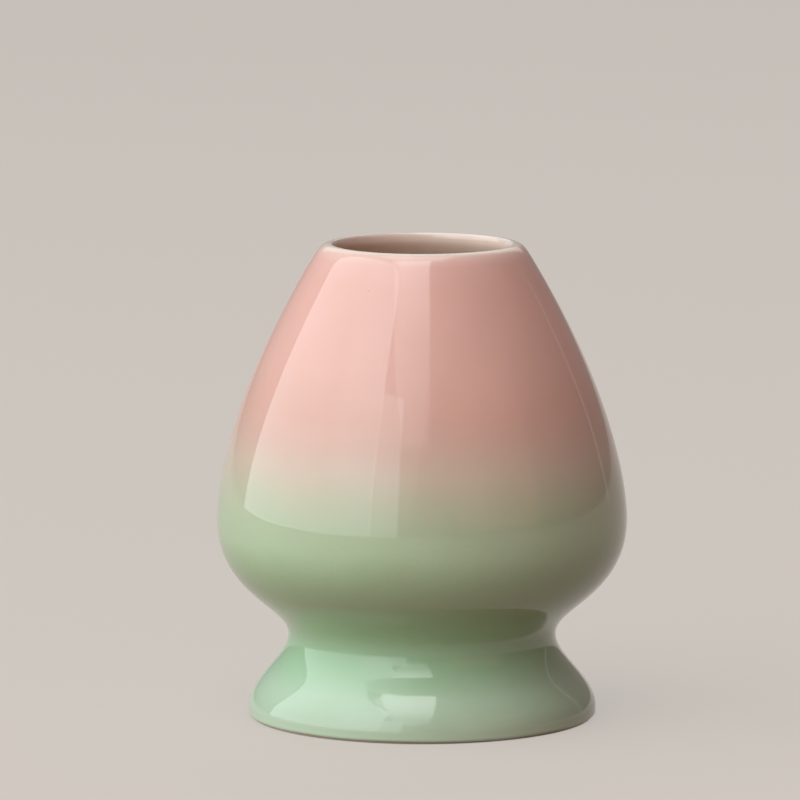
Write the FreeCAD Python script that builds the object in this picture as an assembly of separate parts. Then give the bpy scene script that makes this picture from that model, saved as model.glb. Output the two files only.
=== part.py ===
import FreeCAD
import Part
import math
import os

# A tea whisk holder in glazed porcelain, standing on its foot with its mouth upwards.
#
# A bud-shaped vessel with a closed floor is luted with slip onto a hollow, flared foot. Coats of glaze cover all
# of it but the ring that it stands on: pink above, pale green below, and a clear one inside, over the lip and in
# the foot's well. Each piece is one turn about the Z axis of a section drawn in the XZ plane.
# Millimetres, +Z up, with the origin in the middle of the face that it stands on.

# Glazed outside, at each turn of its outline
overall_height = 70.7
belly_radius = 30.5
belly_height = 29.6
waist_radius = 19.9
waist_height = 12.2
foot_radius = 25.9
foot_edge_height = 1.4

# Lip: the crown is its highest circle, the bud's straight taper begins at the shoulder, and the mouth is narrowest
# at the foot of the lip's rounded inner edge
crown_radius = 13.6
shoulder_reach = 2.9
shoulder_drop = 2.5
shoulder_slope = 31.0  # degrees from upright
mouth_reach = 0.45
mouth_drop = 1.2

# Radius of the outline's own curve at each turn
crown_bend = 4.1
belly_bend = 17.6
waist_bend = 3.1
foot_bend = 3.9

# How far along its climb or its reach a curve keeps to the line that it leaves on
lip_share = 0.75
taper_share = 0.83
bowl_share = 0.76

# Porcelain
vessel_wall = 1.8
vessel_floor = 3.2
foot_wall = 3.2
foot_edge_round = 0.4
bare_edge_height = 0.3

# Well under the foot: how far its wall keeps upright at the top and at the mouth
well_upper_run = 3.6
well_lower_run = 4.2
well_corner = 1.6

# Slip between the vessel and the foot
slip_thickness = 0.5

# Glaze
glaze_thickness = 0.4
glaze_roll_height = 0.5
glaze_tip = 0.08
spray_overlap = 8.0
lip_break_reach = 0.9

# Samples along a curve that runs beside another
follow_steps = 24
whole_turn = 360.0


def point(radius, height):
    """A place in the section: its distance from the axis, and its height."""
    return FreeCAD.Vector(radius, 0, height)


def straight(start, end):
    return Part.LineSegment(start, end).toShape()


def bezier(*poles):
    """A curve from the first pole to the last, drawn towards the poles between them."""
    curve = Part.BezierCurve()
    curve.setPoles(list(poles))
    return curve


def handle_reach(bend, offset):
    """How far a cubic curve's handle reaches from its end to give a bend of that radius there.

    The offset is the distance of the other handle from the tangent at this end.
    """
    return math.sqrt(2 * bend * offset / 3)


def down_slope(start, drop):
    """The place on the shoulder's line of taper that lies a height below its start."""
    return start + point(drop * math.tan(math.radians(shoulder_slope)), -drop)


def beside(curve, depth, end_depth=None, start=0):
    """The curve that runs beside another at a depth to the right of its way, or to the left where negative.

    With an end depth the distance changes steadily along it. Both curves share their parameter, from the
    start to 1, so one number cuts both at the same place.
    """
    if end_depth is None:
        end_depth = depth
    places = []
    points = []
    for step in range(follow_steps + 1):
        share = step / follow_steps
        place = start + (1 - start) * share
        way = curve.tangent(place)[0]
        across = point(way.z, -way.x)
        places.append(place)
        points.append(curve.value(place) + across * (depth + (end_depth - depth) * share))
    follower = Part.BSplineCurve()
    follower.interpolate(Points=points, Parameters=places)
    return follower


def crossing(curve, line):
    """The parameter at which a curve crosses a line of the section."""
    found = curve.intersectCC(line)[0]
    return curve.parameter(point(found.X, found.Z))


def place_at_height(curve, height):
    return crossing(curve, Part.LineSegment(point(0, height), point(belly_radius, height)))


def place_at_radius(curve, radius):
    return crossing(curve, Part.LineSegment(point(radius, 0), point(radius, overall_height)))


def turned(*edges):
    """The solid swept by a closed section in one turn about the axis."""
    face = Part.Face(Part.Wire(list(edges)))
    return face.revolve(point(0, 0), FreeCAD.Vector(0, 0, 1), whole_turn)


# Glazed outside, from the crown down to the edge of the foot
crown = point(crown_radius, overall_height)
shoulder = crown + point(shoulder_reach, -shoulder_drop)
belly = point(belly_radius, belly_height)
waist = point(waist_radius, waist_height)
foot_edge = point(foot_radius, foot_edge_height)

lip_turn = down_slope(shoulder, -lip_share * shoulder_drop)
lip = bezier(
    crown,
    crown + point(handle_reach(crown_bend, crown.z - lip_turn.z), 0),
    lip_turn,
    shoulder,
)
taper_reach = taper_share * (belly.x - shoulder.x)
taper_end = down_slope(shoulder, taper_reach / math.tan(math.radians(shoulder_slope)))
bud = bezier(
    shoulder,
    taper_end,
    belly + point(0, handle_reach(belly_bend, belly.x - taper_end.x)),
    belly,
)
cup = bezier(
    belly,
    belly - point(0, handle_reach(belly_bend, belly.x - waist.x)),
    waist + point(0, handle_reach(waist_bend, belly.x - waist.x)),
    waist,
)
flare = bezier(
    waist,
    waist - point(0, handle_reach(waist_bend, foot_edge.x - waist.x)),
    foot_edge + point(0, handle_reach(foot_bend, foot_edge.x - waist.x)),
    foot_edge,
)

# Porcelain under the glaze outside
lip_body = beside(lip, glaze_thickness)
bud_body = beside(bud, glaze_thickness)
cup_body = beside(cup, glaze_thickness)
flare_body = beside(flare, glaze_thickness)

# Vessel's and foot's flat faces, with the slip between them
vessel_base = waist_height + slip_thickness / 2
foot_top = waist_height - slip_thickness / 2
cup_end = place_at_height(cup_body, vessel_base)
flare_start = place_at_height(flare_body, foot_top)

# Glazed inside, from the crown down to the middle of the floor, and the porcelain behind it
whole_wall = vessel_wall + 2 * glaze_thickness
floor_height = vessel_base + vessel_floor + glaze_thickness
inner_bud = beside(bud, whole_wall)
inner_bud_body = beside(bud, whole_wall - glaze_thickness)
inner_shoulder = inner_bud.StartPoint
inner_belly = inner_bud.EndPoint

mouth = crown - point(mouth_reach, mouth_drop)
inner_edge = bezier(crown, point(mouth.x, crown.z), mouth)
throat_turn = down_slope(inner_shoulder, (mouth.x - inner_shoulder.x) / math.tan(math.radians(shoulder_slope)))
throat = bezier(mouth, throat_turn, inner_shoulder)

crown_body = crown - point(0, glaze_thickness)
mouth_body = mouth + point(glaze_thickness, 0)
inner_edge_body = bezier(crown_body, point(mouth_body.x, crown_body.z), mouth_body)
throat_body = beside(throat, -glaze_thickness)

bowl_floor_edge = point(bowl_share * inner_belly.x, floor_height)
bowl = bezier(
    inner_belly,
    inner_belly - point(0, handle_reach(belly_bend - whole_wall, inner_belly.x - bowl_floor_edge.x)),
    bowl_floor_edge,
    point(0, floor_height),
)
bowl_body = beside(bowl, -glaze_thickness)

# Well under the foot, from the vessel's base down to the ring that everything stands on
ring_outer = foot_radius - glaze_thickness
ring_inner = ring_outer - foot_wall
well_top_radius = waist_radius - glaze_thickness - foot_wall
well_body = bezier(
    point(well_top_radius, foot_top),
    point(well_top_radius, foot_top - well_upper_run),
    point(ring_inner, foot_edge_height + well_lower_run),
    point(ring_inner, foot_edge_height),
)
well = beside(well_body, glaze_thickness)

# Pink thins out to a fine tip at the belly, and green over it to one a spray's overlap further up
green_start = place_at_height(bud, belly_height + spray_overlap)
spray_seam = beside(bud, glaze_tip, glaze_thickness - glaze_tip, green_start)

# Pink stops short of the crown, where the pale glaze comes over from the inside
lip_break = place_at_radius(lip, crown_radius + lip_break_reach)


def glaze_end(body_radius, thickness):
    """The rolled edge of a coat on the foot's upright edge, from its face down to the bare porcelain.

    The thickness is negative where the coat is on the side nearer to the axis.
    """
    stop = bare_edge_height
    roll_top = stop + glaze_roll_height
    face_radius = body_radius + thickness
    side = straight(point(face_radius, foot_edge_height), point(face_radius, roll_top))
    roll = bezier(point(face_radius, roll_top), point(face_radius, stop), point(body_radius, stop))
    return [side, roll.toShape(), straight(point(body_radius, stop), point(body_radius, foot_edge_height))]


def vessel_body():
    """Bud-shaped porcelain vessel with a rounded floor."""
    return turned(
        lip_body.toShape(),
        bud_body.toShape(),
        cup_body.toShape(0, cup_end),
        straight(cup_body.value(cup_end), point(0, vessel_base)),
        straight(point(0, vessel_base), bowl_body.EndPoint),
        bowl_body.toShape(),
        inner_bud_body.toShape(),
        throat_body.toShape(),
        inner_edge_body.toShape(),
    )


def flared_foot():
    """Hollow foot, open above and below, that widens to a flat ring with rounded edges."""
    outer_round = bezier(
        point(ring_outer, bare_edge_height),
        point(ring_outer, 0),
        point(ring_outer - foot_edge_round, 0),
    )
    inner_round = bezier(
        point(ring_inner + foot_edge_round, 0),
        point(ring_inner, 0),
        point(ring_inner, bare_edge_height),
    )
    return turned(
        flare_body.toShape(flare_start, 1),
        straight(flare_body.EndPoint, outer_round.StartPoint),
        outer_round.toShape(),
        straight(outer_round.EndPoint, inner_round.StartPoint),
        inner_round.toShape(),
        straight(inner_round.EndPoint, well_body.EndPoint),
        well_body.toShape(),
        straight(well_body.StartPoint, flare_body.value(flare_start)),
    )


def luting_slip():
    """Ring of slip that joins the foot to the vessel at the waist."""
    return turned(
        cup_body.toShape(cup_end, 1),
        flare_body.toShape(0, flare_start),
        straight(flare_body.value(flare_start), well_body.StartPoint),
        straight(well_body.StartPoint, point(well_top_radius, vessel_base)),
        straight(point(well_top_radius, vessel_base), cup_body.value(cup_end)),
    )


def pink_glaze():
    """Upper coat outside, from just below the crown to the belly, where it runs out under the green."""
    return turned(
        lip.toShape(lip_break, 1),
        bud.toShape(0, green_start),
        straight(bud.value(green_start), spray_seam.StartPoint),
        spray_seam.toShape(),
        straight(spray_seam.EndPoint, bud_body.EndPoint),
        bud_body.toShape(),
        lip_body.toShape(lip_break, 1),
        straight(lip_body.value(lip_break), lip.value(lip_break)),
    )


def green_glaze():
    """Lower coat outside, from its tip over the pink down to the foot's bare edge."""
    return turned(
        bud.toShape(green_start, 1),
        cup.toShape(),
        flare.toShape(),
        *glaze_end(ring_outer, glaze_thickness),
        flare_body.toShape(),
        cup_body.toShape(),
        straight(bud_body.EndPoint, spray_seam.EndPoint),
        spray_seam.toShape(),
        straight(spray_seam.StartPoint, bud.value(green_start)),
    )


def liner_glaze():
    """Pale coat over the crown, down the inside and across the floor."""
    return turned(
        lip.toShape(0, lip_break),
        straight(lip.value(lip_break), lip_body.value(lip_break)),
        lip_body.toShape(0, lip_break),
        inner_edge_body.toShape(),
        throat_body.toShape(),
        inner_bud_body.toShape(),
        bowl_body.toShape(),
        straight(bowl_body.EndPoint, bowl.EndPoint),
        bowl.toShape(),
        inner_bud.toShape(),
        throat.toShape(),
        inner_edge.toShape(),
    )


def well_glaze():
    """Coat on the wall of the foot's well and across its ceiling, with a fillet between them."""
    ceiling = vessel_base - glaze_thickness
    fillet_end = place_at_height(well, ceiling - well_corner)
    wall_top = well.value(fillet_end)
    wall_way = well.tangent(fillet_end)[0]
    corner = wall_top + wall_way * ((ceiling - wall_top.z) / wall_way.z)
    fillet = bezier(corner - point(well_corner, 0), corner, wall_top)
    return turned(
        straight(point(0, ceiling), fillet.StartPoint),
        fillet.toShape(),
        well.toShape(fillet_end, 1),
        *glaze_end(ring_inner, -glaze_thickness),
        well_body.toShape(),
        straight(well_body.StartPoint, point(well_top_radius, vessel_base)),
        straight(point(well_top_radius, vessel_base), point(0, vessel_base)),
        straight(point(0, vessel_base), point(0, ceiling)),
    )


sub_parts = [
    vessel_body,
    flared_foot,
    luting_slip,
    pink_glaze,
    green_glaze,
    liner_glaze,
    well_glaze,
]

os.makedirs("parts", exist_ok=True)
for make in sub_parts:
    solid = make()
    solid.exportStep("parts/" + make.__name__ + ".step")
    print(make.__name__, "volume", round(solid.Volume, 1), "solids", len(solid.Solids), "valid", solid.isValid())
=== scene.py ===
import math

import bpy
import numpy as np
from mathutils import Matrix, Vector


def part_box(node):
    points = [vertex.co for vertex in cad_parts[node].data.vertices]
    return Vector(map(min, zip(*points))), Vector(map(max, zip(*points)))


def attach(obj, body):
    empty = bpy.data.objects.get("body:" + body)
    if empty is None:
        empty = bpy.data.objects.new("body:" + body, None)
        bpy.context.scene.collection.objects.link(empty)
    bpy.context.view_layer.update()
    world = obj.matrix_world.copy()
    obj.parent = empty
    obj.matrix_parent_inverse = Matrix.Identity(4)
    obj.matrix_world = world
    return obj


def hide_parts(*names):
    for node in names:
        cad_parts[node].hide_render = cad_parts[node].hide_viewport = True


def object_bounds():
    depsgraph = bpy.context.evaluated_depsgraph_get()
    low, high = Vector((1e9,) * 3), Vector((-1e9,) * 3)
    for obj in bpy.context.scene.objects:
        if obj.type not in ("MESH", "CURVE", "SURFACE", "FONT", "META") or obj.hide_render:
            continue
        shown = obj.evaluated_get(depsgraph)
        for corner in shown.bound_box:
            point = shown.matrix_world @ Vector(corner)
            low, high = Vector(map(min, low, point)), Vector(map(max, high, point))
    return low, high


# Tea whisk holder: five skins turned about Z over the frame's solids, their materials, a floor,
# lights and a camera
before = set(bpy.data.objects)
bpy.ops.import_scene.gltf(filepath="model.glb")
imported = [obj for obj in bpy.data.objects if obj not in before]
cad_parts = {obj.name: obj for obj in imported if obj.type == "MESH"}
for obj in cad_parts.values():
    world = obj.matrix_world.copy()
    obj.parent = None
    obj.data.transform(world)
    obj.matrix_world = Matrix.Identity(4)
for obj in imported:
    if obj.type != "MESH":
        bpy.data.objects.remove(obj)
cadLow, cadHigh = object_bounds()
print("frame loaded with", len(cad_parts), "nodes")

mm = 0.001
nudge = 1e-4  # step in t, or in an angle, across which a slope is taken

# Sizes that the frame gives, each from the box of the piece that has it
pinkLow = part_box("pink_glaze")[0]
greenLow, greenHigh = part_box("green_glaze")
linerLow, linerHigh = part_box("liner_glaze")
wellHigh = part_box("well_glaze")[1]
vesselLow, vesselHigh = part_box("vessel_body")
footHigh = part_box("flared_foot")[1]
slipLow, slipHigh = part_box("luting_slip")

wholeHeight = cadHigh.z
glaze = wholeHeight - vesselHigh.z
bellyRadius = cadHigh.x
bellyHeight = pinkLow.z
seamHeight = greenHigh.z
waistRadius = slipHigh.x + glaze
waistHeight = (slipLow.z + slipHigh.z) / 2
ringOuter = footHigh.x
ringInner = wellHigh.x
footTop = footHigh.z
bareHeight = greenLow.z
vesselBase = vesselLow.z
floorHeight = linerLow.z + glaze
wholeWall = bellyRadius - linerHigh.x + glaze

# Turns of the outline, which no box holds
outline = dict(
    crownRadius=13.6 * mm,
    shoulderReach=2.9 * mm,
    shoulderDrop=2.5 * mm,
    shoulderSlope=math.radians(31.0),
    mouthReach=0.45 * mm,
    mouthDrop=1.20 * mm,
    crownBend=4.1 * mm,
    bellyBend=17.6 * mm,
    waistBend=3.1 * mm,
    footBend=3.9 * mm,
    lipShare=0.75,
    taperShare=0.83,
    bowlShare=0.76,
    footEdge=1.4 * mm,
    wellUpperRun=3.6 * mm,
    wellLowerRun=4.2 * mm,
)


def bezier(*poles):
    # Each pole is weighted by its Bernstein polynomial in t, so the run leaves the first pole
    # towards the second and comes into the last from the one before it
    degree = len(poles) - 1

    def place(t):
        weights = [math.comb(degree, k) * (1 - t) ** (degree - k) * t ** k for k in range(degree + 1)]
        radius = sum(weight * pole[0] for weight, pole in zip(weights, poles))
        height = sum(weight * pole[1] for weight, pole in zip(weights, poles))
        return radius, height

    return place


def line(start, end):
    # Straight run: the start, and t times the way from it to the end
    return bezier(start, end)


def beside(run, depth, endDepth=None, start=0.0):
    # Place of the run plus the depth times its unit tangent turned clockwise; the depth changes in
    # step with t
    growth = 0.0 if endDepth is None else (endDepth - depth) / (1 - start)

    def place(t):
        radius, height = run(t)
        radiusAhead, heightAhead = run(t + nudge)
        radiusBehind, heightBehind = run(t - nudge)
        overRadius = radiusAhead - radiusBehind
        overHeight = heightAhead - heightBehind
        share = (depth + growth * (t - start)) / np.hypot(overRadius, overHeight)
        return radius + share * overHeight, height - share * overRadius

    return place


def stretch(run, start, end):
    # Part of a run, between two of its parameters; it runs back where the start is past the end
    return lambda t: run(start + (end - start) * t)


def spot(run, t):
    # Radius and height of the run at one parameter, as two plain numbers
    radius, height = run(np.array([float(t)]))
    return float(radius[0]), float(height[0])


def passes(run, axis, value, samples=4001):
    # Parameter at which the run's radius (axis 0) or height (axis 1) comes to a value, between
    # close samples
    t = np.linspace(0, 1, samples)
    along = run(t)[axis]
    order = np.argsort(along)
    return float(np.interp(value, along[order], t[order]))


def reach(bend, offset):
    # Length of a handle that bends the run to this radius at its end, where the next handle stands
    # this far off its tangent: the root of two thirds of the two multiplied
    return math.sqrt(2 * bend * offset / 3)


def downSlope(start, drop):
    # Place this much lower than the start; the radius grows by the drop times the tangent of the
    # shoulder's slope, which is measured from upright
    return start[0] + drop * math.tan(outline["shoulderSlope"]), start[1] - drop


# Outside of the glaze, from the crown of the lip down to the edge of the foot
crown = (outline["crownRadius"], wholeHeight)
shoulder = (crown[0] + outline["shoulderReach"], crown[1] - outline["shoulderDrop"])
belly = (bellyRadius, bellyHeight)
waist = (waistRadius, waistHeight)
footEdge = (ringOuter + glaze, outline["footEdge"])

lipTurn = downSlope(shoulder, -outline["lipShare"] * outline["shoulderDrop"])
lip = bezier(
    crown,
    (crown[0] + reach(outline["crownBend"], crown[1] - lipTurn[1]), crown[1]),
    lipTurn,
    shoulder,
)

taperReach = outline["taperShare"] * (belly[0] - shoulder[0])
taperEnd = downSlope(shoulder, taperReach / math.tan(outline["shoulderSlope"]))
bud = bezier(
    shoulder,
    taperEnd,
    (belly[0], belly[1] + reach(outline["bellyBend"], belly[0] - taperEnd[0])),
    belly,
)

cup = bezier(
    belly,
    (belly[0], belly[1] - reach(outline["bellyBend"], belly[0] - waist[0])),
    (waist[0], waist[1] + reach(outline["waistBend"], belly[0] - waist[0])),
    waist,
)
flare = bezier(
    waist,
    (waist[0], waist[1] - reach(outline["waistBend"], footEdge[0] - waist[0])),
    (footEdge[0], footEdge[1] + reach(outline["footBend"], footEdge[0] - waist[0])),
    footEdge,
)

# Inside of the glaze, from the crown down to the middle of the floor
innerBud = beside(bud, wholeWall)
innerShoulder = spot(innerBud, 0)
innerBelly = spot(innerBud, 1)
mouth = (crown[0] - outline["mouthReach"], crown[1] - outline["mouthDrop"])
innerEdge = bezier(crown, (mouth[0], crown[1]), mouth)
throatReach = mouth[0] - innerShoulder[0]
throatTurn = downSlope(innerShoulder, throatReach / math.tan(outline["shoulderSlope"]))
throat = bezier(mouth, throatTurn, innerShoulder)
floorEdge = (outline["bowlShare"] * innerBelly[0], floorHeight)
bowlBend = outline["bellyBend"] - wholeWall
bowl = bezier(
    innerBelly,
    (innerBelly[0], innerBelly[1] - reach(bowlBend, innerBelly[0] - floorEdge[0])),
    floorEdge,
    (0.0, floorHeight),
)

# Porcelain under the glaze, outside and inside
lipBody = beside(lip, glaze)
budBody = beside(bud, glaze)
cupBody = beside(cup, glaze)
flareBody = beside(flare, glaze)
crownBody = (crown[0], crown[1] - glaze)
mouthBody = (mouth[0] + glaze, mouth[1])
innerEdgeBody = bezier(crownBody, (mouthBody[0], crownBody[1]), mouthBody)
throatBody = beside(throat, -glaze)
innerBudBody = beside(bud, wholeWall - glaze)
bowlBody = beside(bowl, -glaze)

# Wall of the well under the foot
wellTopRadius = waist[0] - glaze - (ringOuter - ringInner)
wellBody = bezier(
    (wellTopRadius, footTop),
    (wellTopRadius, footTop - outline["wellUpperRun"]),
    (ringInner, outline["footEdge"] + outline["wellLowerRun"]),
    (ringInner, outline["footEdge"]),
)
wellFace = beside(wellBody, glaze)

# Unevenness of a form cast and glazed by hand: the radius wanders on slanting waves, and a coat's
# lower edge rises and dips where it was wiped off the ring
handmade = dict(
    turns=(2, 3, 4, 7),
    climb=(31 * mm, 23 * mm, 17 * mm, 12 * mm),
    start=(0.4, 2.1, 4.0, 5.3),
    size=(0.030 * mm, 0.018 * mm, 0.010 * mm, 0.004 * mm),
    axisFade=3 * mm,
    wipeTurns=(3, 5, 8, 13),
    wipeStart=(1.0, 2.7, 0.2, 4.4),
    wipeSize=(0.030 * mm, 0.025 * mm, 0.020 * mm, 0.012 * mm),
)


def wobble(angle, height):
    # Sum of the waves: each is its size times the cosine of its turns round and its climb
    waves = zip(handmade["turns"], handmade["climb"], handmade["start"], handmade["size"])
    return sum(
        size * np.cos(turns * angle + height / climb + start)
        for turns, climb, start, size in waves
    )


def wipe(angle, height):
    # The same round the turn alone, whole at the bare edge and nothing from the foot's edge upwards
    waves = zip(handmade["wipeTurns"], handmade["wipeStart"], handmade["wipeSize"])
    lift = sum(size * np.cos(turns * angle + start) for turns, start, size in waves)
    return lift * np.clip((outline["footEdge"] - height) / (outline["footEdge"] - bareHeight), 0, 1)


def turnedGrid(run, t, angles, wiped):
    # x = r cos(angle), y = r sin(angle) and z = height, where r is the run's radius and the wobble,
    # which dies away at the axis
    radius, height = run(t)
    radius = radius[:, None]
    height = height[:, None]
    angle = angles[None, :]
    grown = radius + wobble(angle, height) * np.clip(radius / handmade["axisFade"], -1, 1)
    raised = height + wipe(angle, height) * wiped + 0 * angle
    return np.stack([grown * np.cos(angle), grown * np.sin(angle), raised], axis=2)


def turnedPiece(name, runs, wiped=False, turnSteps=300):
    # A closed skin: runs set end to end round its section, turned about Z. The normal at each grid
    # point is the cross product of the tangents along the turn and along the run, so pieces that
    # share an edge shade as one, and an edge is sharp only where two runs meet at a corner
    angles = np.arange(turnSteps) * (2 * math.pi / turnSteps)
    section = np.concatenate([np.stack(run(np.arange(steps) / steps), axis=1) for run, steps in runs])
    following = np.roll(section, -1, axis=0)
    outward = np.sign(np.sum(section[:, 0] * following[:, 1] - following[:, 0] * section[:, 1]))
    onAxis = bool(section[0, 0] < nudge * mm)

    grids, normals = [], []
    for run, steps in runs:
        t = np.arange(steps + 1) / steps
        ahead = turnedGrid(run, t + nudge, angles, wiped)
        behind = turnedGrid(run, t - nudge, angles, wiped)
        onward = turnedGrid(run, t, angles + nudge, wiped)
        backward = turnedGrid(run, t, angles - nudge, wiped)
        normal = np.cross(onward - backward, ahead - behind) * outward
        upright = np.zeros_like(normal)
        upright[:, :, 2] = -outward * np.sign(run(t + nudge)[0] - run(t - nudge)[0])[:, None]
        atPole = np.abs(run(t)[0]) < nudge * mm
        normal[atPole] = upright[atPole]
        grids.append(turnedGrid(run, t, angles, wiped))
        normals.append(normal / np.linalg.norm(normal, axis=2, keepdims=True))

    # One row of points for each step of the section; a section that begins and ends on the axis
    # gets a pole there
    rows = sum(steps for run, steps in runs)
    around = np.arange(turnSteps)
    points = np.concatenate([grid[:-1] for grid in grids])
    if onAxis:
        points = np.concatenate([points[0, :1], points[1:].reshape(-1, 3), grids[-1][-1, :1]])
        index = 1 + (np.arange(rows + 1)[:, None] - 1) * turnSteps + around[None, :]
        index[0] = 0
        index[-1] = len(points) - 1
    else:
        points = points.reshape(-1, 3)
        index = (np.arange(rows + 1)[:, None] % rows) * turnSteps + around[None, :]

    after = np.roll(around, -1)
    near = np.concatenate([normal[:-1] for normal in normals])
    far = np.concatenate([normal[1:] for normal in normals])
    corners = [index[:-1], index[:-1, after], index[1:, after], index[1:]]
    cornerNormals = [near, near[:, after], far[:, after], far]
    if outward < 0:
        corners.reverse()
        cornerNormals.reverse()
    quads = np.stack(corners, axis=2)
    quadNormals = np.stack(cornerNormals, axis=2)

    # At a pole two corners of each face fall together, so one is left out
    faces, loopNormals = [], []
    for row in range(rows):
        first = quads[row, 0].tolist()
        keep = [k for k in range(4) if first.index(first[k]) == k]
        faces += quads[row][:, keep].tolist()
        loopNormals.append(quadNormals[row][:, keep].reshape(-1, 3))

    mesh = bpy.data.meshes.new(name)
    mesh.from_pydata(points.tolist(), [], faces)
    mesh.polygons.foreach_set("use_smooth", np.ones(len(faces), dtype=bool))
    mesh.normals_split_custom_set(np.concatenate(loopNormals).tolist())
    mesh.update()
    piece = bpy.data.objects.new(name, mesh)
    bpy.context.scene.collection.objects.link(piece)
    print("turned", name, "with", len(faces), "faces")
    return piece


glazeEdge = dict(roll=0.5 * mm, sideSteps=2, rollSteps=8)


def glazeEnd(bodyRadius, thickness):
    # A coat's rolled edge on the foot's upright edge: down its face, round to the porcelain and
    # back up
    face = bodyRadius + thickness
    rollTop = bareHeight + glazeEdge["roll"]
    return [
        (line((face, outline["footEdge"]), (face, rollTop)), glazeEdge["sideSteps"]),
        (bezier((face, rollTop), (face, bareHeight), (bodyRadius, bareHeight)), glazeEdge["rollSteps"]),
        (line((bodyRadius, bareHeight), (bodyRadius, outline["footEdge"])), glazeEdge["sideSteps"]),
    ]


# Green runs out to a fine tip over the pink, which in turn ends in one under the green
spray = dict(tip=0.08 * mm, steps=16)
seam = passes(bud, 1, seamHeight)
spraySeam = beside(bud, spray["tip"], glaze - spray["tip"], seam)

# Pink coat: outside of the lip and the bud, from just below the crown to the belly
pinkFacts = dict(lipBreak=0.9 * mm, lipSteps=14, budSteps=90, hiddenSteps=40)
lipBreak = passes(lip, 0, crown[0] + pinkFacts["lipBreak"])


def makePinkCoat(facts):
    return turnedPiece("pinkCoat", [
        (stretch(lip, lipBreak, 1), facts["lipSteps"]),
        (stretch(bud, 0, seam), facts["budSteps"]),
        (line(spot(bud, seam), spot(spraySeam, seam)), 1),
        (stretch(spraySeam, seam, 1), spray["steps"]),
        (line(spot(spraySeam, 1), spot(budBody, 1)), 1),
        (stretch(budBody, 1, 0), facts["hiddenSteps"]),
        (stretch(lipBody, 1, lipBreak), facts["lipSteps"]),
        (line(spot(lipBody, lipBreak), spot(lip, lipBreak)), 1),
    ])


# Green coat: from its tip above the belly down over the waist and the flare to the foot's bare edge
greenFacts = dict(tipSteps=20, cupSteps=64, flareSteps=48, hiddenSteps=30)


def makeGreenCoat(facts):
    return turnedPiece("greenCoat", [
        (stretch(bud, seam, 1), facts["tipSteps"]),
        (cup, facts["cupSteps"]),
        (flare, facts["flareSteps"]),
        *glazeEnd(ringOuter, glaze),
        (stretch(flareBody, 1, 0), facts["hiddenSteps"]),
        (stretch(cupBody, 1, 0), facts["hiddenSteps"]),
        (line(spot(budBody, 1), spot(spraySeam, 1)), 1),
        (stretch(spraySeam, 1, seam), spray["steps"]),
        (line(spot(spraySeam, seam), spot(bud, seam)), 1),
    ], wiped=True)


# Liner coat: from the middle of the floor up the inside, over the crown and a little way down
# outside
linerFacts = dict(
    bowlSteps=60,
    wallSteps=70,
    throatSteps=16,
    edgeSteps=10,
    crownSteps=6,
    hiddenSteps=40,
)


def makeLinerCoat(facts):
    return turnedPiece("linerCoat", [
        (stretch(bowl, 1, 0), facts["bowlSteps"]),
        (stretch(innerBud, 1, 0), facts["wallSteps"]),
        (stretch(throat, 1, 0), facts["throatSteps"]),
        (stretch(innerEdge, 1, 0), facts["edgeSteps"]),
        (stretch(lip, 0, lipBreak), facts["crownSteps"]),
        (line(spot(lip, lipBreak), spot(lipBody, lipBreak)), 1),
        (stretch(lipBody, lipBreak, 0), facts["crownSteps"]),
        (innerEdgeBody, facts["edgeSteps"]),
        (throatBody, facts["throatSteps"]),
        (innerBudBody, facts["hiddenSteps"]),
        (bowlBody, facts["hiddenSteps"]),
    ])


# Well coat: ceiling and wall of the hollow under the foot, with a fillet where they meet
wellFacts = dict(corner=1.6 * mm, ceilingSteps=30, filletSteps=12, wallSteps=30, hiddenSteps=24)


def makeWellCoat(facts):
    ceiling = vesselBase - glaze
    filletEnd = passes(wellFace, 1, ceiling - facts["corner"])
    wallTop = spot(wellFace, filletEnd)
    wallAhead = spot(wellFace, filletEnd + nudge)
    slope = (wallAhead[0] - wallTop[0]) / (wallAhead[1] - wallTop[1])
    corner = (wallTop[0] + slope * (ceiling - wallTop[1]), ceiling)
    filletStart = (corner[0] - facts["corner"], ceiling)
    return turnedPiece("wellCoat", [
        (line((0.0, ceiling), filletStart), facts["ceilingSteps"]),
        (bezier(filletStart, corner, wallTop), facts["filletSteps"]),
        (stretch(wellFace, filletEnd, 1), facts["wallSteps"]),
        *glazeEnd(ringInner, -glaze),
        (stretch(wellBody, 1, 0), facts["hiddenSteps"]),
        (line((wellTopRadius, footTop), (wellTopRadius, vesselBase)), 1),
        (line((wellTopRadius, vesselBase), (0.0, vesselBase)), facts["hiddenSteps"]),
    ], wiped=True)


# Foot porcelain: the hollow foot itself, which shows only as the bare ring that everything stands
# on
footFacts = dict(rounding=0.4 * mm, wallSteps=36, roundSteps=8, ringSteps=10, edgeSteps=3)


def makeFootPorcelain(facts):
    ringOut = (ringOuter - facts["rounding"], 0.0)
    ringIn = (ringInner + facts["rounding"], 0.0)
    flareStart = passes(flareBody, 1, footTop)
    return turnedPiece("footPorcelain", [
        (stretch(flareBody, flareStart, 1), facts["wallSteps"]),
        (line(spot(flareBody, 1), (ringOuter, bareHeight)), facts["edgeSteps"]),
        (bezier((ringOuter, bareHeight), (ringOuter, 0.0), ringOut), facts["roundSteps"]),
        (line(ringOut, ringIn), facts["ringSteps"]),
        (bezier(ringIn, (ringInner, 0.0), (ringInner, bareHeight)), facts["roundSteps"]),
        (line((ringInner, bareHeight), spot(wellBody, 1)), facts["edgeSteps"]),
        (stretch(wellBody, 1, 0), facts["wallSteps"]),
        (line((wellTopRadius, footTop), spot(flareBody, flareStart)), facts["ringSteps"]),
    ])


pinkCoat = makePinkCoat(pinkFacts)
greenCoat = makeGreenCoat(greenFacts)
linerCoat = makeLinerCoat(linerFacts)
wellCoat = makeWellCoat(wellFacts)
footPorcelain = makeFootPorcelain(footFacts)


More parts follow.
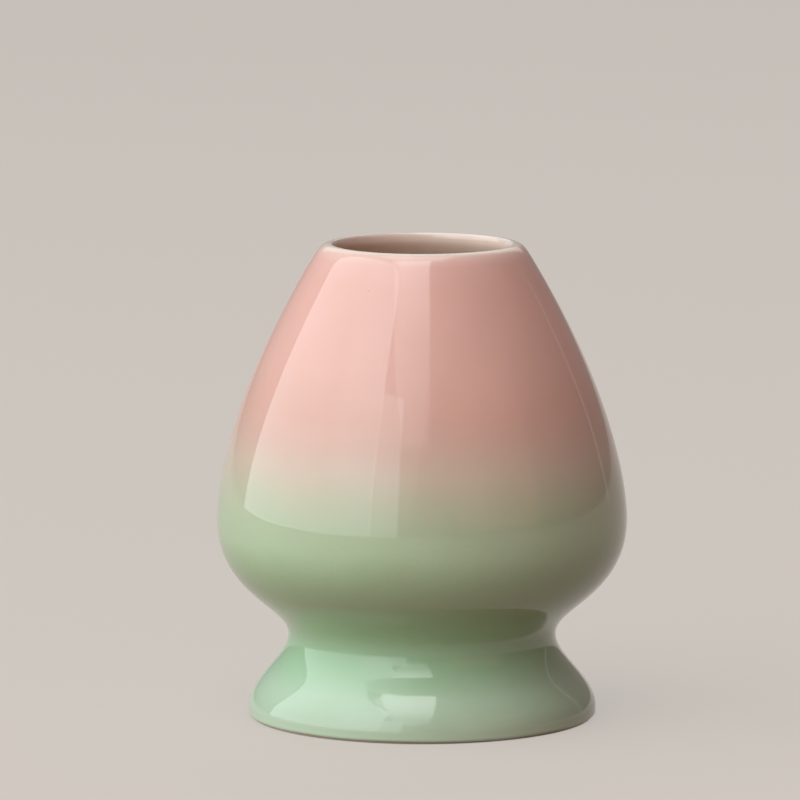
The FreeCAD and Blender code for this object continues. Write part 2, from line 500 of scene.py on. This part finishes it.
def linearColour(hexCode):
    # sRGB to linear: a twelfth part near black, and above it a power of 2.4
    channels = [int(hexCode[k:k + 2], 16) / 255 for k in (1, 3, 5)]
    linear = [c / 12.92 if c <= 0.04045 else ((c + 0.055) / 1.055) ** 2.4 for c in channels]
    return (*linear, 1.0)


def newMaterial(name):
    material = bpy.data.materials.new(name)
    material.use_nodes = True
    material.node_tree.nodes.clear()
    return material, material.node_tree


def addNode(tree, kind, links=None, inputs=None, **settings):
    # Links join other nodes' outputs to this one's inputs; inputs are numbers and colours set on
    # the sockets
    node = tree.nodes.new(kind)
    for key, value in settings.items():
        setattr(node, key, value)
    for key, value in (inputs or {}).items():
        node.inputs[key].default_value = value
    for key, socket in (links or {}).items():
        tree.links.new(socket, node.inputs[key])
    return node


# A noise texture's values lie between the first two nearly everywhere; clouds show above the third
noiseLow = 0.3
noiseHigh = 0.7
cloudLow = 0.35
cloudHigh = 0.75


def fillRamp(ramp, stops):
    # Stops are (height in millimetres, colour); the ramp runs from the floor to the top of the lip
    places = sorted((height * mm / wholeHeight, colour) for height, colour in stops)
    elements = ramp.color_ramp.elements
    elements[0].position = places[0][0]
    elements[1].position = places[-1][0]
    for position, colour in places[1:-1]:
        elements.new(position)
    for element, (position, colour) in zip(elements, places):
        element.color = linearColour(colour)


def colourAtHeight(tree, height, clouds, facts):
    # The ramp's colour at this height, times a tint where the clouds are thick
    along = addNode(tree, "ShaderNodeMapRange", {"Value": height}, {"From Max": wholeHeight})
    ramp = addNode(tree, "ShaderNodeValToRGB", {"Fac": along.outputs[0]})
    fillRamp(ramp, facts["stops"])
    share = addNode(tree, "ShaderNodeMapRange", {"Value": clouds},
                    {"From Min": cloudLow, "From Max": cloudHigh, "To Max": facts["cloudShare"]})
    clouded = addNode(tree, "ShaderNodeMix", {"Factor": share.outputs[0], "A": ramp.outputs["Color"]},
                      data_type="RGBA", blend_type="MULTIPLY")
    clouded.inputs["B"].default_value = linearColour(facts["cloudTint"])
    return clouded.outputs["Result"]


# Feldspar glaze fired glossy over porcelain, as all the coats are: a clear, glassy skin with sharp
# reflections that swim a little, because the melt never lies quite flat, and a rare fine speck of
# iron
fired = dict(
    ior=1.6,
    roughness=(0.03, 0.06),
    meltSize=4.5 * mm,
    meltHeight=0.006 * mm,
    cloudSize=7 * mm,
    speckSpacing=5 * mm,
    speckRadius=0.14 * mm,
    speckCore=0.5,
    speckColour="#8f7a66",
    speckShare=0.45,
)


def firedGlaze(name, makeColour):
    material, tree = newMaterial(name)
    place = addNode(tree, "ShaderNodeTexCoord").outputs["Object"]
    height = addNode(tree, "ShaderNodeSeparateXYZ", {0: place}).outputs["Z"]
    clouds = addNode(tree, "ShaderNodeTexNoise", {"Vector": place},
                     {"Scale": 1 / fired["cloudSize"], "Detail": 2.0}).outputs["Fac"]
    colour = makeColour(tree, place, height, clouds)

    cells = addNode(tree, "ShaderNodeTexVoronoi", {"Vector": place},
                    {"Scale": 1 / fired["speckSpacing"]})
    speckEdge = fired["speckRadius"] / fired["speckSpacing"]
    speck = addNode(tree, "ShaderNodeMapRange", {"Value": cells.outputs["Distance"]},
                    {"From Min": speckEdge, "From Max": speckEdge * fired["speckCore"],
                     "To Max": fired["speckShare"]})
    specked = addNode(tree, "ShaderNodeMix", {"Factor": speck.outputs[0], "A": colour},
                      data_type="RGBA")
    specked.inputs["B"].default_value = linearColour(fired["speckColour"])

    melt = addNode(tree, "ShaderNodeTexNoise", {"Vector": place},
                   {"Scale": 1 / fired["meltSize"], "Detail": 1.0})
    swell = addNode(tree, "ShaderNodeBump", {"Height": melt.outputs["Fac"]},
                    {"Distance": fired["meltHeight"]})
    gloss = addNode(tree, "ShaderNodeMapRange", {"Value": clouds},
                    {"From Min": noiseLow, "From Max": noiseHigh, "To Min": fired["roughness"][0],
                     "To Max": fired["roughness"][1]})
    skin = addNode(tree, "ShaderNodeBsdfPrincipled",
                   {"Base Color": specked.outputs["Result"], "Roughness": gloss.outputs[0],
                    "Normal": swell.outputs[0]},
                   {"IOR": fired["ior"]})
    addNode(tree, "ShaderNodeOutputMaterial", {"Surface": skin.outputs[0]})
    return material


# Pink and celadon sprayed one over the other: the colour changes only with height. It is palest
# where the glaze draws back from the lip, deeper where it pools at the waist, and thin and buff on
# the foot's edge. Under the belly the green is also painted darker: painted shade for the shade
# beneath the bud. Where the two meet, drifts of spray and single droplets blur the border
sprayColoursAndUnderShade = dict(
    stops=(
        (70.70, "#fcede2"),
        (70.60, "#fcddd0"),
        (70.20, "#fbd0c4"),
        (69.00, "#f8c2b6"),
        (66.00, "#f6bdb0"),
        (60.00, "#f6beb1"),
        (54.00, "#f5beb0"),
        (48.00, "#efbaaa"),
        (44.00, "#eabead"),
        (40.00, "#e3c9b4"),
        (36.00, "#d4cfb1"),
        (32.00, "#c7d3ae"),
        (28.00, "#c9dcb2"),
        # Painted shade: the stops from 24 down to 16 mm are darker for the shade under the belly
        (24.00, "#bed1a2"),
        (20.00, "#b8c393"),
        (16.00, "#bfd1a5"),
        (12.00, "#b0d3a7"),
        (10.00, "#b3d8ae"),
        (6.00, "#c5dfc1"),
        (3.00, "#c3d9bb"),
        (1.00, "#d1e3c3"),
    ),
    driftSize=12 * mm,
    driftHeight=0.5 * mm,
    dropletSize=0.45 * mm,
    dropletHeight=0.7 * mm,
    looseFrom=(18 * mm, 28 * mm),
    firmFrom=(55 * mm, 66 * mm),
    cloudTint="#e9e4da",
    cloudShare=0.12,
)


def sprayedColour(tree, place, height, clouds):
    facts = sprayColoursAndUnderShade
    drift = addNode(tree, "ShaderNodeTexNoise", {"Vector": place},
                    {"Scale": 1 / facts["driftSize"], "Detail": 1.0})
    drifted = addNode(tree, "ShaderNodeMapRange", {"Value": drift.outputs["Fac"]},
                      {"From Min": noiseLow, "From Max": noiseHigh, "To Min": -facts["driftHeight"],
                       "To Max": facts["driftHeight"]})
    droplet = addNode(tree, "ShaderNodeTexNoise", {"Vector": place},
                      {"Scale": 1 / facts["dropletSize"], "Detail": 2.0})
    sprayed = addNode(tree, "ShaderNodeMapRange", {"Value": droplet.outputs["Fac"]},
                      {"From Min": noiseLow, "From Max": noiseHigh, "To Min": -facts["dropletHeight"],
                       "To Max": facts["dropletHeight"]})
    both = addNode(tree, "ShaderNodeMath", {0: drifted.outputs[0], 1: sprayed.outputs[0]},
                   operation="ADD")

    # The colours of the lip, the waist and the foot keep to their own heights
    above = addNode(tree, "ShaderNodeMapRange", {"Value": height},
                    {"From Min": facts["looseFrom"][0], "From Max": facts["looseFrom"][1]},
                    interpolation_type="SMOOTHSTEP")
    below = addNode(tree, "ShaderNodeMapRange", {"Value": height},
                    {"From Min": facts["firmFrom"][1], "From Max": facts["firmFrom"][0]},
                    interpolation_type="SMOOTHSTEP")
    free = addNode(tree, "ShaderNodeMath", {0: above.outputs[0], 1: below.outputs[0]},
                   operation="MULTIPLY")
    moved = addNode(tree, "ShaderNodeMath", {0: both.outputs[0], 1: free.outputs[0], 2: height},
                    operation="MULTIPLY_ADD")
    return colourAtHeight(tree, moved.outputs[0], clouds, facts)


# The same glaze poured clear inside: the porcelain shows through it as cream, with a breath of pink
# at the lip. From the lip down the upper wall the cream is painted paler than it is: painted light,
# standing in for light that falls into the mouth
linerColoursWithPaintedLight = dict(
    stops=(
        # Painted light: the stops from the lip down to 66 mm are paler than the porcelain's own cream
        (70.70, "#fbebe0"),
        (70.40, "#fbe4d8"),
        (69.50, "#f9ddcd"),
        (66.00, "#f6d6c3"),
        (50.00, "#f1d6bd"),
        (16.00, "#efe0cb"),
    ),
    cloudTint="#efe6d8",
    cloudShare=0.3,
)


def linerColour(tree, place, height, clouds):
    return colourAtHeight(tree, height, clouds, linerColoursWithPaintedLight)


# Hard porcelain, fired bare and rubbed flat on the ring: dry and off-white with a fine grain,
# flashed to a warm buff along the glaze's edge
bareFacts = dict(
    body="#e9e0d2",
    flash="#c9a184",
    flashHeight=(0.0, 0.35 * mm),
    grainSize=0.25 * mm,
    grainHeight=0.012 * mm,
    stain="#cfc3b2",
    stainSize=6 * mm,
    roughness=(0.58, 0.72),
    ior=1.5,
)

# Casting slip brushed on as the joint between vessel and foot: the same porcelain with a rougher,
# grainier face
slipFacts = dict(bareFacts, body="#e3d9c9", flash="#e3d9c9", grainSize=0.5 * mm, grainHeight=0.03 * mm,
                 roughness=(0.7, 0.85))


def barePorcelain(name, facts):
    material, tree = newMaterial(name)
    place = addNode(tree, "ShaderNodeTexCoord").outputs["Object"]
    height = addNode(tree, "ShaderNodeSeparateXYZ", {0: place}).outputs["Z"]
    stain = addNode(tree, "ShaderNodeTexNoise", {"Vector": place},
                    {"Scale": 1 / facts["stainSize"], "Detail": 4.0})
    stained = addNode(tree, "ShaderNodeMix", {"Factor": stain.outputs["Fac"]}, data_type="RGBA")
    stained.inputs["A"].default_value = linearColour(facts["body"])
    stained.inputs["B"].default_value = linearColour(facts["stain"])
    flash = addNode(tree, "ShaderNodeMapRange", {"Value": height},
                    {"From Min": facts["flashHeight"][0], "From Max": facts["flashHeight"][1]},
                    interpolation_type="SMOOTHSTEP")
    flashed = addNode(tree, "ShaderNodeMix",
                      {"Factor": flash.outputs[0], "A": stained.outputs["Result"]},
                      data_type="RGBA")
    flashed.inputs["B"].default_value = linearColour(facts["flash"])
    grain = addNode(tree, "ShaderNodeTexNoise", {"Vector": place},
                    {"Scale": 1 / facts["grainSize"], "Detail": 3.0})
    relief = addNode(tree, "ShaderNodeBump", {"Height": grain.outputs["Fac"]},
                     {"Distance": facts["grainHeight"]})
    dryness = addNode(tree, "ShaderNodeMapRange", {"Value": grain.outputs["Fac"]},
                      {"From Min": noiseLow, "From Max": noiseHigh, "To Min": facts["roughness"][0],
                       "To Max": facts["roughness"][1]})
    body = addNode(tree, "ShaderNodeBsdfPrincipled",
                   {"Base Color": flashed.outputs["Result"], "Roughness": dryness.outputs[0],
                    "Normal": relief.outputs[0]},
                   {"IOR": facts["ior"]})
    addNode(tree, "ShaderNodeOutputMaterial", {"Surface": body.outputs[0]})
    return material


sprayedGlaze = firedGlaze("sprayed feldspar glaze, fired glossy", sprayedColour)
clearGlaze = firedGlaze("clear feldspar glaze, fired glossy", linerColour)
porcelain = barePorcelain("hard porcelain, fired bare", bareFacts)
slip = barePorcelain("porcelain slip, fired bare", slipFacts)
print("materials made")

for piece, node, slotName, material in (
    (pinkCoat, "pink_glaze", "pink_glaze", sprayedGlaze),
    (greenCoat, "green_glaze", "green_glaze", sprayedGlaze),
    (linerCoat, "liner_glaze", "liner_glaze", clearGlaze),
    (wellCoat, "well_glaze", "well_glaze", clearGlaze),
    (footPorcelain, "flared_foot", "porcelain", porcelain),
):
    piece.data.materials.append(material)
    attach(piece, "root")
    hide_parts(node)

# The vessel's own porcelain and the slip stay as they are in the frame, under the coats
for nodeName, material in (("vessel_body", porcelain), ("luting_slip", slip)):
    for materialSlot in bpy.data.objects[nodeName].material_slots:
        materialSlot.material = material
print("pieces dressed")

# Floor: matte pale board. It gives back less light than it shows, so that the underside of the bud
# keeps its depth: a part of its paleness is seen by the camera and by gloss alone
floorFacts = dict(
    reach=6.0,
    bounce="#6e6259",
    paleness="#b5b1ac",
    roughness=0.85,
)


def seenRays(tree):
    # 1 for rays from the camera and for those mirrored or let through, else 0
    path = addNode(tree, "ShaderNodeLightPath")
    mirrored = addNode(tree, "ShaderNodeMath",
                       {0: path.outputs["Is Camera Ray"], 1: path.outputs["Is Glossy Ray"]},
                       operation="MAXIMUM")
    seen = addNode(tree, "ShaderNodeMath",
                   {0: mirrored.outputs[0], 1: path.outputs["Is Transmission Ray"]},
                   operation="MAXIMUM")
    return seen.outputs[0]


def makeFloor(facts):
    # One square with its face up, this far out on every side
    far = facts["reach"]
    corners = [(-far, -far, 0), (far, -far, 0), (far, far, 0), (-far, far, 0)]
    mesh = bpy.data.meshes.new("floor")
    mesh.from_pydata(corners, [], [(0, 1, 2, 3)])
    floor = bpy.data.objects.new("floor", mesh)
    bpy.context.scene.collection.objects.link(floor)
    material, tree = newMaterial("board, painted matte")
    paint = addNode(tree, "ShaderNodeBsdfPrincipled", {},
                    {"Base Color": linearColour(facts["bounce"]), "Roughness": facts["roughness"]})
    glow = addNode(tree, "ShaderNodeEmission", {"Strength": seenRays(tree)},
                   {"Color": linearColour(facts["paleness"])})
    both = addNode(tree, "ShaderNodeAddShader", {0: paint.outputs[0], 1: glow.outputs[0]})
    addNode(tree, "ShaderNodeOutputMaterial", {"Surface": both.outputs[0]})
    mesh.materials.append(material)


# Lights, in degrees and metres: azimuth is from the front (-Y) towards the left (-X), elevation
# from level. A softbox stands its distance out along both, is moved by its shift and faces back
# along both; one at elevation 90 hangs level
lights = dict(
    tallSoftbox=dict(azimuth=74, elevation=0, distance=0.90, size=(1.78, 1.62), shift=(0, 0, 0.82),
                     radiance=1.63, colour="#effbff"),
    lowSoftbox=dict(azimuth=21.9, elevation=0, distance=1.30, size=(0.36, 0.96), shift=(0, 0, 0.49),
                    radiance=1.2, colour="#effbff"),
    topPanel=dict(azimuth=0, elevation=90, distance=1.36, size=(0.68, 1.10), shift=(-0.175, -0.95, 0),
                  radiance=3.5, spread=90),
    farPanel=dict(azimuth=0, elevation=90, distance=1.40, size=(0.80, 2.24), shift=(-0.23, -1.54, 0),
                  radiance=1.25, spread=150),
    frontCard=dict(azimuth=31, elevation=34, distance=1.50, size=(1.50, 2.0), shift=(0, 0, 0.05),
                   radiance=0.70, spread=80),
    overhead=dict(azimuth=0, elevation=90, distance=1.40, size=(0.85, 0.90), shift=(-0.05, 0.03, 0),
                  radiance=1.4),
    warmCard=dict(azimuth=-45, elevation=18, distance=1.80, size=(1.60, 1.20), shift=(0, 0, 0.10),
                  radiance=0.34, colour="#ffa887"),
    backCard=dict(azimuth=180, elevation=34, distance=1.60, size=(1.60, 0.95), radiance=0.56),
    rimStrip=dict(azimuth=-129, elevation=0, distance=1.20, size=(0.03, 1.2), shift=(0, 0, 0.60),
                  radiance=0.35),
)


def softbox(name, azimuth, elevation, distance, size, radiance,
            shift=(0, 0, 0), spread=180, colour="#ffffff"):
    # A grid with less spread makes a softbox fade away from its own axis; the energy is cut by the
    # share of the light that such a grid stops, so that the radiance is what the object sees along
    # that axis. In one plane two softboxes that overlap would hide each other from the glaze, so
    # they hang at unlike heights
    across = math.radians(azimuth)
    up = math.radians(elevation)
    away = Vector((-math.sin(across) * math.cos(up), -math.cos(across) * math.cos(up), math.sin(up)))
    half = math.radians(spread) / 2
    lamp = bpy.data.lights.new(name, "AREA")
    lamp.shape = "RECTANGLE"
    lamp.size, lamp.size_y = size
    lamp.energy = radiance * math.pi * size[0] * size[1] * (1 - half / math.tan(half))
    lamp.spread = math.radians(spread)
    lamp.color = linearColour(colour)[:3]
    holder = bpy.data.objects.new(name, lamp)
    holder.location = away * distance + Vector(shift)
    holder.rotation_euler = away.to_track_quat("Z", "Y").to_euler()
    holder.visible_camera = False
    bpy.context.scene.collection.objects.link(holder)


# World: a warm white all round, dim as a light and paler where it is seen
studioWorld = dict(fill=0.07, seen=0.30, colour="#fff3ea")


def makeWorld(facts):
    world = bpy.data.worlds.new("studio")
    world.use_nodes = True
    tree = world.node_tree
    tree.nodes.clear()
    strength = addNode(tree, "ShaderNodeMapRange", {"Value": seenRays(tree)},
                       {"To Min": facts["fill"], "To Max": facts["seen"]})
    backdrop = addNode(tree, "ShaderNodeBackground", {"Strength": strength.outputs[0]},
                       {"Color": linearColour(facts["colour"])})
    addNode(tree, "ShaderNodeOutputWorld", {"Surface": backdrop.outputs[0]})
    bpy.context.scene.world = world


makeFloor(floorFacts)
for name, facts in lights.items():
    softbox(name, **facts)
makeWorld(studioWorld)
bpy.context.scene.view_settings.view_transform = "Standard"
print("floor and lights placed")

# Camera: a long lens above the rim, tilted down, with the holder a little right of the middle. The
# lens is in millimetres, the place in metres and the tilt in degrees
view = dict(lens=342.8, place=(-0.00329, -1.120, 0.2029), tilt=7.912)
cameraData = bpy.data.cameras.new("camera")
cameraData.lens = view["lens"]
camera = bpy.data.objects.new("camera", cameraData)
camera.location = view["place"]
camera.rotation_euler = (math.radians(90 - view["tilt"]), 0, 0)
bpy.context.scene.collection.objects.link(camera)
bpy.context.scene.camera = camera

print("scene ready")
